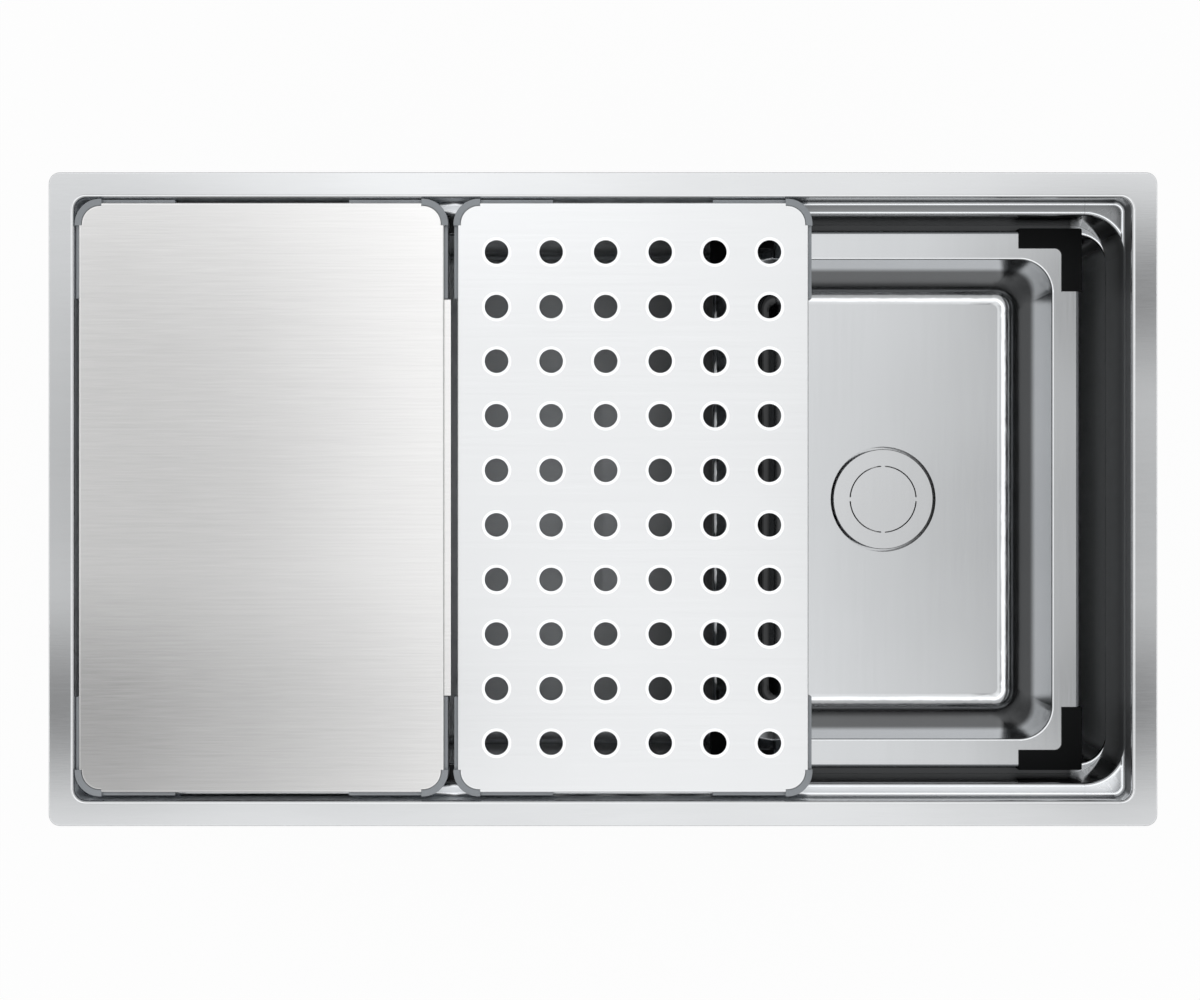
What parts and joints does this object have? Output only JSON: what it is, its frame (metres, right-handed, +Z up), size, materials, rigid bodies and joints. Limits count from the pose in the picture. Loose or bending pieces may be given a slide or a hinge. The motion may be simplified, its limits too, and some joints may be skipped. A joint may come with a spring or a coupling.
{
  "type": "workstation kitchen sink",
  "caption": "Drop-in stainless workstation sink: a two-step bowl with a solid board, a perforated board, and a sliding wash basin with black corner pads.",
  "frame": {"origin": "middle of the worktop cut-out, on the worktop's upper face, where the underside of the rim rests", "axes": "+X right along the rim's length, +Y to the back, +Z up"},
  "size_m": [0.78, 0.46, 0.3895],
  "materials": {
    "rim_steel": "satin, fine grain along the length",
    "bowl_steel": "satin with polished walls",
    "solid_board_steel": "long straight grain, left to right",
    "perforated_board_steel": "light satin, bright hole edges",
    "basin_steel": "satin floor and rim, polished walls",
    "cover_steel": "satin",
    "drain_steel": "polished",
    "foot_plastic": "matt moulded grey",
    "pad_rubber": "matt black",
    "seal_rubber": "matt black",
    "friction_paper": "pressed fibre",
    "nut_plastic": "moulded white plastic",
    "clamp_steel": "zinc plated",
    "shoe_plastic": "moulded black plastic",
    "sound_pad_rubber": "matt dark grey sheet"
  },
  "bodies": {
    "sink": {"rim_plate": "rim_steel", "bowl_floor": "bowl_steel", "bowl_drain_seat": "bowl_steel", "bowl_wall_front": "bowl_steel", "bowl_wall_back": "bowl_steel", "bowl_wall_left": "bowl_steel", "bowl_wall_right": "bowl_steel", "bowl_corner_front_left": "bowl_steel", "bowl_corner_front_right": "bowl_steel", "bowl_corner_back_left": "bowl_steel", "bowl_corner_back_right": "bowl_steel", "sound_pad_floor_left": "sound_pad_rubber", "sound_pad_floor_right": "sound_pad_rubber", "sound_pad_front": "sound_pad_rubber", "sound_pad_back": "sound_pad_rubber", "clamp_brackets": "clamp_steel", "clamp_screws": "clamp_steel", "clamp_nuts": "clamp_steel", "clamp_shoes": "shoe_plastic", "main_drain_body": "drain_steel", "main_drain_flange_gasket": "seal_rubber", "main_drain_rubber_washer": "seal_rubber", "main_drain_friction_ring": "friction_paper", "main_drain_backnut": "nut_plastic", "tailpiece": "drain_steel", "tailpiece_washer": "seal_rubber", "tailpiece_nut": "nut_plastic"},
    "solid_board": {"solid_board_plate": "solid_board_steel", "solid_board_foot_front_left": "foot_plastic", "solid_board_foot_front_right": "foot_plastic", "solid_board_foot_back_left": "foot_plastic", "solid_board_foot_back_right": "foot_plastic"},
    "perforated_board": {"perforated_board_plate": "perforated_board_steel", "perforated_board_foot_front_left": "foot_plastic", "perforated_board_foot_front_right": "foot_plastic", "perforated_board_foot_back_left": "foot_plastic", "perforated_board_foot_back_right": "foot_plastic"},
    "wash_basin": {"basin_shell": "basin_steel", "basin_pad_front_left": "pad_rubber", "basin_pad_front_right": "pad_rubber", "basin_pad_back_left": "pad_rubber", "basin_pad_back_right": "pad_rubber", "basin_outlet": "drain_steel", "basin_outlet_gasket": "seal_rubber", "basin_outlet_nut": "nut_plastic"},
    "basin_strainer": {"basin_strainer_basket": "drain_steel", "basin_strainer_floor": "drain_steel", "basin_strainer_stem": "drain_steel", "basin_strainer_seal": "seal_rubber"},
    "basin_cover": {"basin_drain_cover": "cover_steel"},
    "main_strainer": {"main_strainer_basket": "drain_steel", "main_strainer_floor": "drain_steel", "main_strainer_stem": "drain_steel", "main_strainer_seal": "seal_rubber"}
  },
  "joints": [
    {"name": "solid_board_lift", "type": "slide", "parent": "sink", "child": "solid_board", "axis": [0, 0, 1], "range_m": [0, 0.25]},
    {"name": "perforated_board_slide", "type": "slide", "parent": "sink", "child": "perforated_board", "axis": [1, 0, 0], "range_m": [-0.002, 0.2235]},
    {"name": "basin_slide", "type": "slide", "parent": "sink", "child": "wash_basin", "axis": [1, 0, 0], "range_m": [-0.43, 0]},
    {"name": "basin_strainer_lift", "type": "slide", "parent": "wash_basin", "child": "basin_strainer", "axis": [0, 0, 1], "range_m": [0, 0.05]},
    {"name": "basin_cover_lift", "type": "slide", "parent": "basin_strainer", "child": "basin_cover", "axis": [0, 0, 1], "range_m": [0, 0.04]},
    {"name": "main_strainer_lift", "type": "slide", "parent": "sink", "child": "main_strainer", "axis": [0, 0, 1], "range_m": [0, 0.04]}
  ]
}
